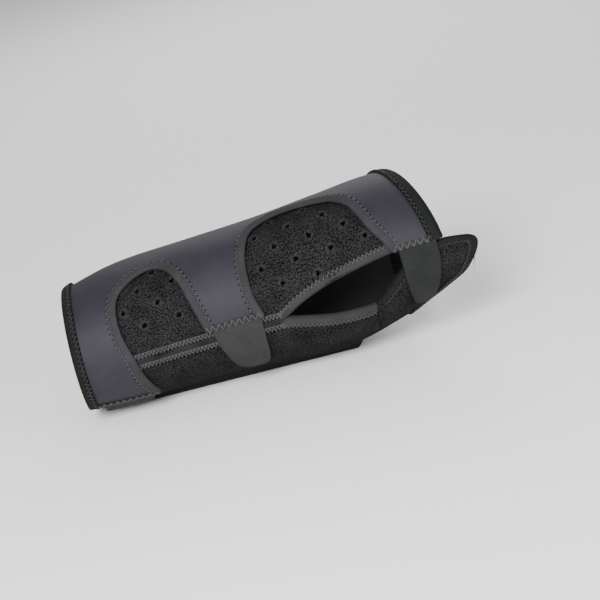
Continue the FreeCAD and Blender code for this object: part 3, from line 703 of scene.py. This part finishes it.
bind("forearm_rim", shell_rim, RIM_TAPE, RIM_FOLD,
     [("sleeve", shell_rim[1] > 60, []), ("forearm", shell_rim[1] <= 60, [])], (2.2, 4.4), (2.4, 4.3))
shell_knuckles = follow([(float(knuckle_line(a)), a)
                         for a in (18, 30, 45, 60, 75, 90, 110, 130, 150, 165, 180)])
bind("knuckle_rim", shell_knuckles, RIM_TAPE, wider(RIM_FOLD, 1.4),
     [("hand", shell_knuckles[1] < 72, []), ("sleeve", shell_knuckles[1] >= 72, [])], (4.6, 6.2), (4.8, 6.1))
shell_ulnar = follow([(164, ULNAR), (90, ULNAR), (0.6, ULNAR)])
bind("ulnar_shell", shell_ulnar, EDGE_TAPE, SHELL_FOLD, [("sleeve", shell_ulnar[1] > 0, [])],
     (2.6, 4.5), (4.5,))

# ------------------------------------------------------------------ end seams, tabs and hook patches
# angles of root and tip, then the near and far sides as (angles, stations)
TABS = {
    "forearm": (-44.0, -74.0, ([-74, -73, -70, -60, -44], [15, 12, 10.0, 8, 7]),
                ([-74, -73, -70, -60, -44], [25, 28, 30, 32, 33])),
    "wrist": (3.2, -45.5, ([-45.5, -45, -43, -39, -30, -14, 3.2], [84, 82.3, 80, 77.5, 75, 71.5, 69]),
              ([-45.5, -45, -43, -39, -30, -14, 3.2], [88, 89.7, 91.8, 93.3, 94, 94, 94])),
    "hand": (18.4, -38.5, ([-38.5, -38, -36, -32, -20, 0, 18.4], [173, 171.6, 170, 168.8, 167.5, 166.5, 166]),
             ([-38.5, -38, -36, -32, -20, 0, 18.4], [176, 177.4, 179, 180.4, 183, 185, 184.8])),
}
SEAM_BAND = [(-1.4, 4.4), (-1.25, 5.2), (-0.6, 5.5), (0.6, 5.5), (1.25, 5.2), (1.4, 4.4), (0, 4.0)]
for name in ("forearm", "wrist", "hand"):
    end = ENDS[name]
    near, far = float(NEAR[name](end)), float(FAR[name](end))
    seam = follow([(far, end + 1.0), (0.5 * (near + far), end + 1.0), (near, end + 1.0)])
    band = tape(f"{name}_seam_band", RIM_TAPE if name == "forearm" else EDGE_TAPE, seam, SEAM_BAND)
    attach(band, f"{name}_strap")
    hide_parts(f"{name}_end_seam")
    for k, shift in enumerate((0.0, 1.65)):
        line = part_of(seam, seam[3] >= shift)
        thread = DARK_THREAD if k else GREY_THREAD
        over = cover_stitch(f"{name}_seam_overcast_{k}", thread, line, -1.4, 1.4, 5.62, 3.3, 0.36)
        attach(over, f"{name}_strap")

for name, (root, tip, near, far) in TABS.items():
    top = LIGHT_TAB if name == "wrist" else DARK_TAB
    middle = (0.5 * (np.interp(root, *near) + np.interp(root, *far)), 0.5 * (root + tip))
    on_tab(cloth(f"{name}_tab_cloth", top, lambda a, n=near, f=far: (np.interp(a, *n), np.interp(a, *f)),
                 lambda s, r=root, t=tip: (t + 0 * s, r + 0 * s),
                 lambda s, a: 5.25 + 0.1 * ripple(s, a, 9, 5.0), 0.95, 0.6, 0.3, middle), name, f"{name}_tab")
    on_tab(cloth(f"{name}_hooks", HOOKS,
                 lambda a, n=near, f=far: (np.interp(a, *n) + 1.4, np.interp(a, *f) - 1.4),
                 lambda s, r=root, t=tip: (t + 2.5 + 0 * s, r - 2.5 + 0 * s),
                 lambda s, a: 4.25 + 0 * s, 0.6, 1.2, 0.1, middle), name, f"{name}_hook_patch")


# ------------------------------------------------------------------ stay pockets
def stay_pocket(node, base, face, flange, wall, thick, open_end):
    """Sewn sheath: its rim lies on the cloth at base(x, y), its face at face(x) stands off it."""
    low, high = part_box(node)

    def rise(d):
        t = np.clip((d - flange) / wall, 0, 1)
        return t * t * (3 - 2 * t)

    bm = bmesh.new()
    bmesh.ops.create_grid(bm, x_segments=140, y_segments=36, size=0.5)
    uv_layer = bm.loops.layers.uv.new("cloth")
    for vert in bm.verts:
        x = low.x + (vert.co.x + 0.5) * (high.x - low.x)
        y = low.y + (vert.co.y + 0.5) * (high.y - low.y)
        side = min(y - low.y, high.y - y) / MM
        end = (high.x - x) / MM / 4 if open_end else min(high.x - x, x - low.x) / MM
        stand = rise(side) * rise(end)
        vert.co = (x, y, base(x, y) * (1 - stand) + face(x) * stand)
    for patch in bm.faces:
        for loop in patch.loops:
            loop[uv_layer].uv = (loop.vert.co.x / MM, loop.vert.co.y / MM)
    bmesh.ops.recalc_face_normals(bm, faces=bm.faces)
    if bm.faces[:][0].normal.z > 0:
        bmesh.ops.reverse_faces(bm, faces=bm.faces)
    bmesh.ops.solidify(bm, geom=bm.faces[:], thickness=thick * MM)
    bmesh.ops.recalc_face_normals(bm, faces=bm.faces)
    return bm


def form_height(x, y, h, upper):
    """Height (metres) of the surface h above the form, over or under a point of the plan."""
    width, depth, centre = (float(smooth(FORM[:, 0], FORM[:, k], (x - RIM_X) / MM)) for k in (1, 2, 3))
    drop = (depth + h) * math.sqrt(max(0.0, 1 - (y / MM / (width + h)) ** 2))
    return (centre + (drop if upper else -drop)) * MM


bm = stay_pocket("palmar_stay_pocket", lambda x, y: form_height(x, y, 3.35, False), lambda x: 0.0,
                 0.3, 1.6, 0.6, True)
on_sleeve(finish_piece(bm, "palmar_stay_sheath", POCKET_CLOTH), "palmar_stay_pocket")

DORSAL_RISE = math.tan(math.radians(4.9))       # slope of the dorsal stay towards the fingers
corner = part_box("dorsal_stay_pocket")[0]
bm = stay_pocket("dorsal_stay_pocket", lambda x, y: form_height(x, y, -0.3, True),
                 lambda x: corner.z + (x - corner.x) * DORSAL_RISE + 0.3 * MM, 1.5, 2.2, 0.5, False)
on_sleeve(finish_piece(bm, "dorsal_stay_sheath", POCKET_CLOTH), "dorsal_stay_pocket")

for node_name, finish in (("palmar_stay", STAY_METAL), ("dorsal_stay", STAY_PLASTIC)):
    mesh = frame["nodes"][node_name].data
    mesh.materials.clear()
    mesh.materials.append(finish)

# ------------------------------------------------------------------ floor, light and camera
floor = bmesh.new()
bmesh.ops.create_grid(floor, x_segments=1, y_segments=1, size=30.0)
PALE_FLOOR = look("pale_floor", (0.90, 0.90, 0.90), (0.93, 0.93, 0.93), 8.0, 0.2, 0.02, 0.9, 0.0,
                  on_pattern=False)
floor_piece = finish_piece(floor, "floor", PALE_FLOOR, False)
floor_piece.location.z = -0.0002

world = bpy.data.worlds.new("studio")
world.use_nodes = True
world.node_tree.nodes["Background"].inputs["Color"].default_value = (1, 1, 1, 1)
world.node_tree.nodes["Background"].inputs["Strength"].default_value = 0.5
bpy.context.scene.world = world


def softbox(name, place, aim, size, power):
    """Round area light at a place, turned to its aim."""
    data = bpy.data.lights.new(name, "AREA")
    data.shape, data.size, data.energy = "DISK", size, power
    lamp = bpy.data.objects.new(name, data)
    lamp.location = place
    lamp.rotation_euler = (Vector(aim) - Vector(place)).to_track_quat("-Z", "Y").to_euler()
    bpy.context.scene.collection.objects.link(lamp)


softbox("key", (-0.25, -0.95, 0.65), (0, 0, 0.04), 0.5, 24)
softbox("fill", (0.8, -0.8, 0.35), (0.02, 0, 0.04), 0.8, 9)
softbox("back", (0.1, 0.9, 0.6), (0, 0, 0.04), 0.6, 4)

AIM = Vector((RIM_X + 0.1143, 0.0, 0.0309))
ELEVATION, ROLL, DISTANCE = math.radians(20), math.radians(14.2), 1.0
lens = bpy.data.cameras.new("camera")
lens.lens, lens.sensor_width = 118.8, 36
lens.clip_start, lens.clip_end = 0.05, 20
camera = bpy.data.objects.new("camera", lens)
sight = Vector((0, math.cos(ELEVATION), -math.sin(ELEVATION)))
camera.location = AIM - sight * DISTANCE
camera.rotation_mode = "QUATERNION"
level_view = sight.to_track_quat("-Z", "Y").to_matrix()
camera.rotation_quaternion = (level_view @ Matrix.Rotation(-ROLL, 3, "Z")).to_quaternion()
bpy.context.scene.collection.objects.link(camera)
bpy.context.scene.camera = camera
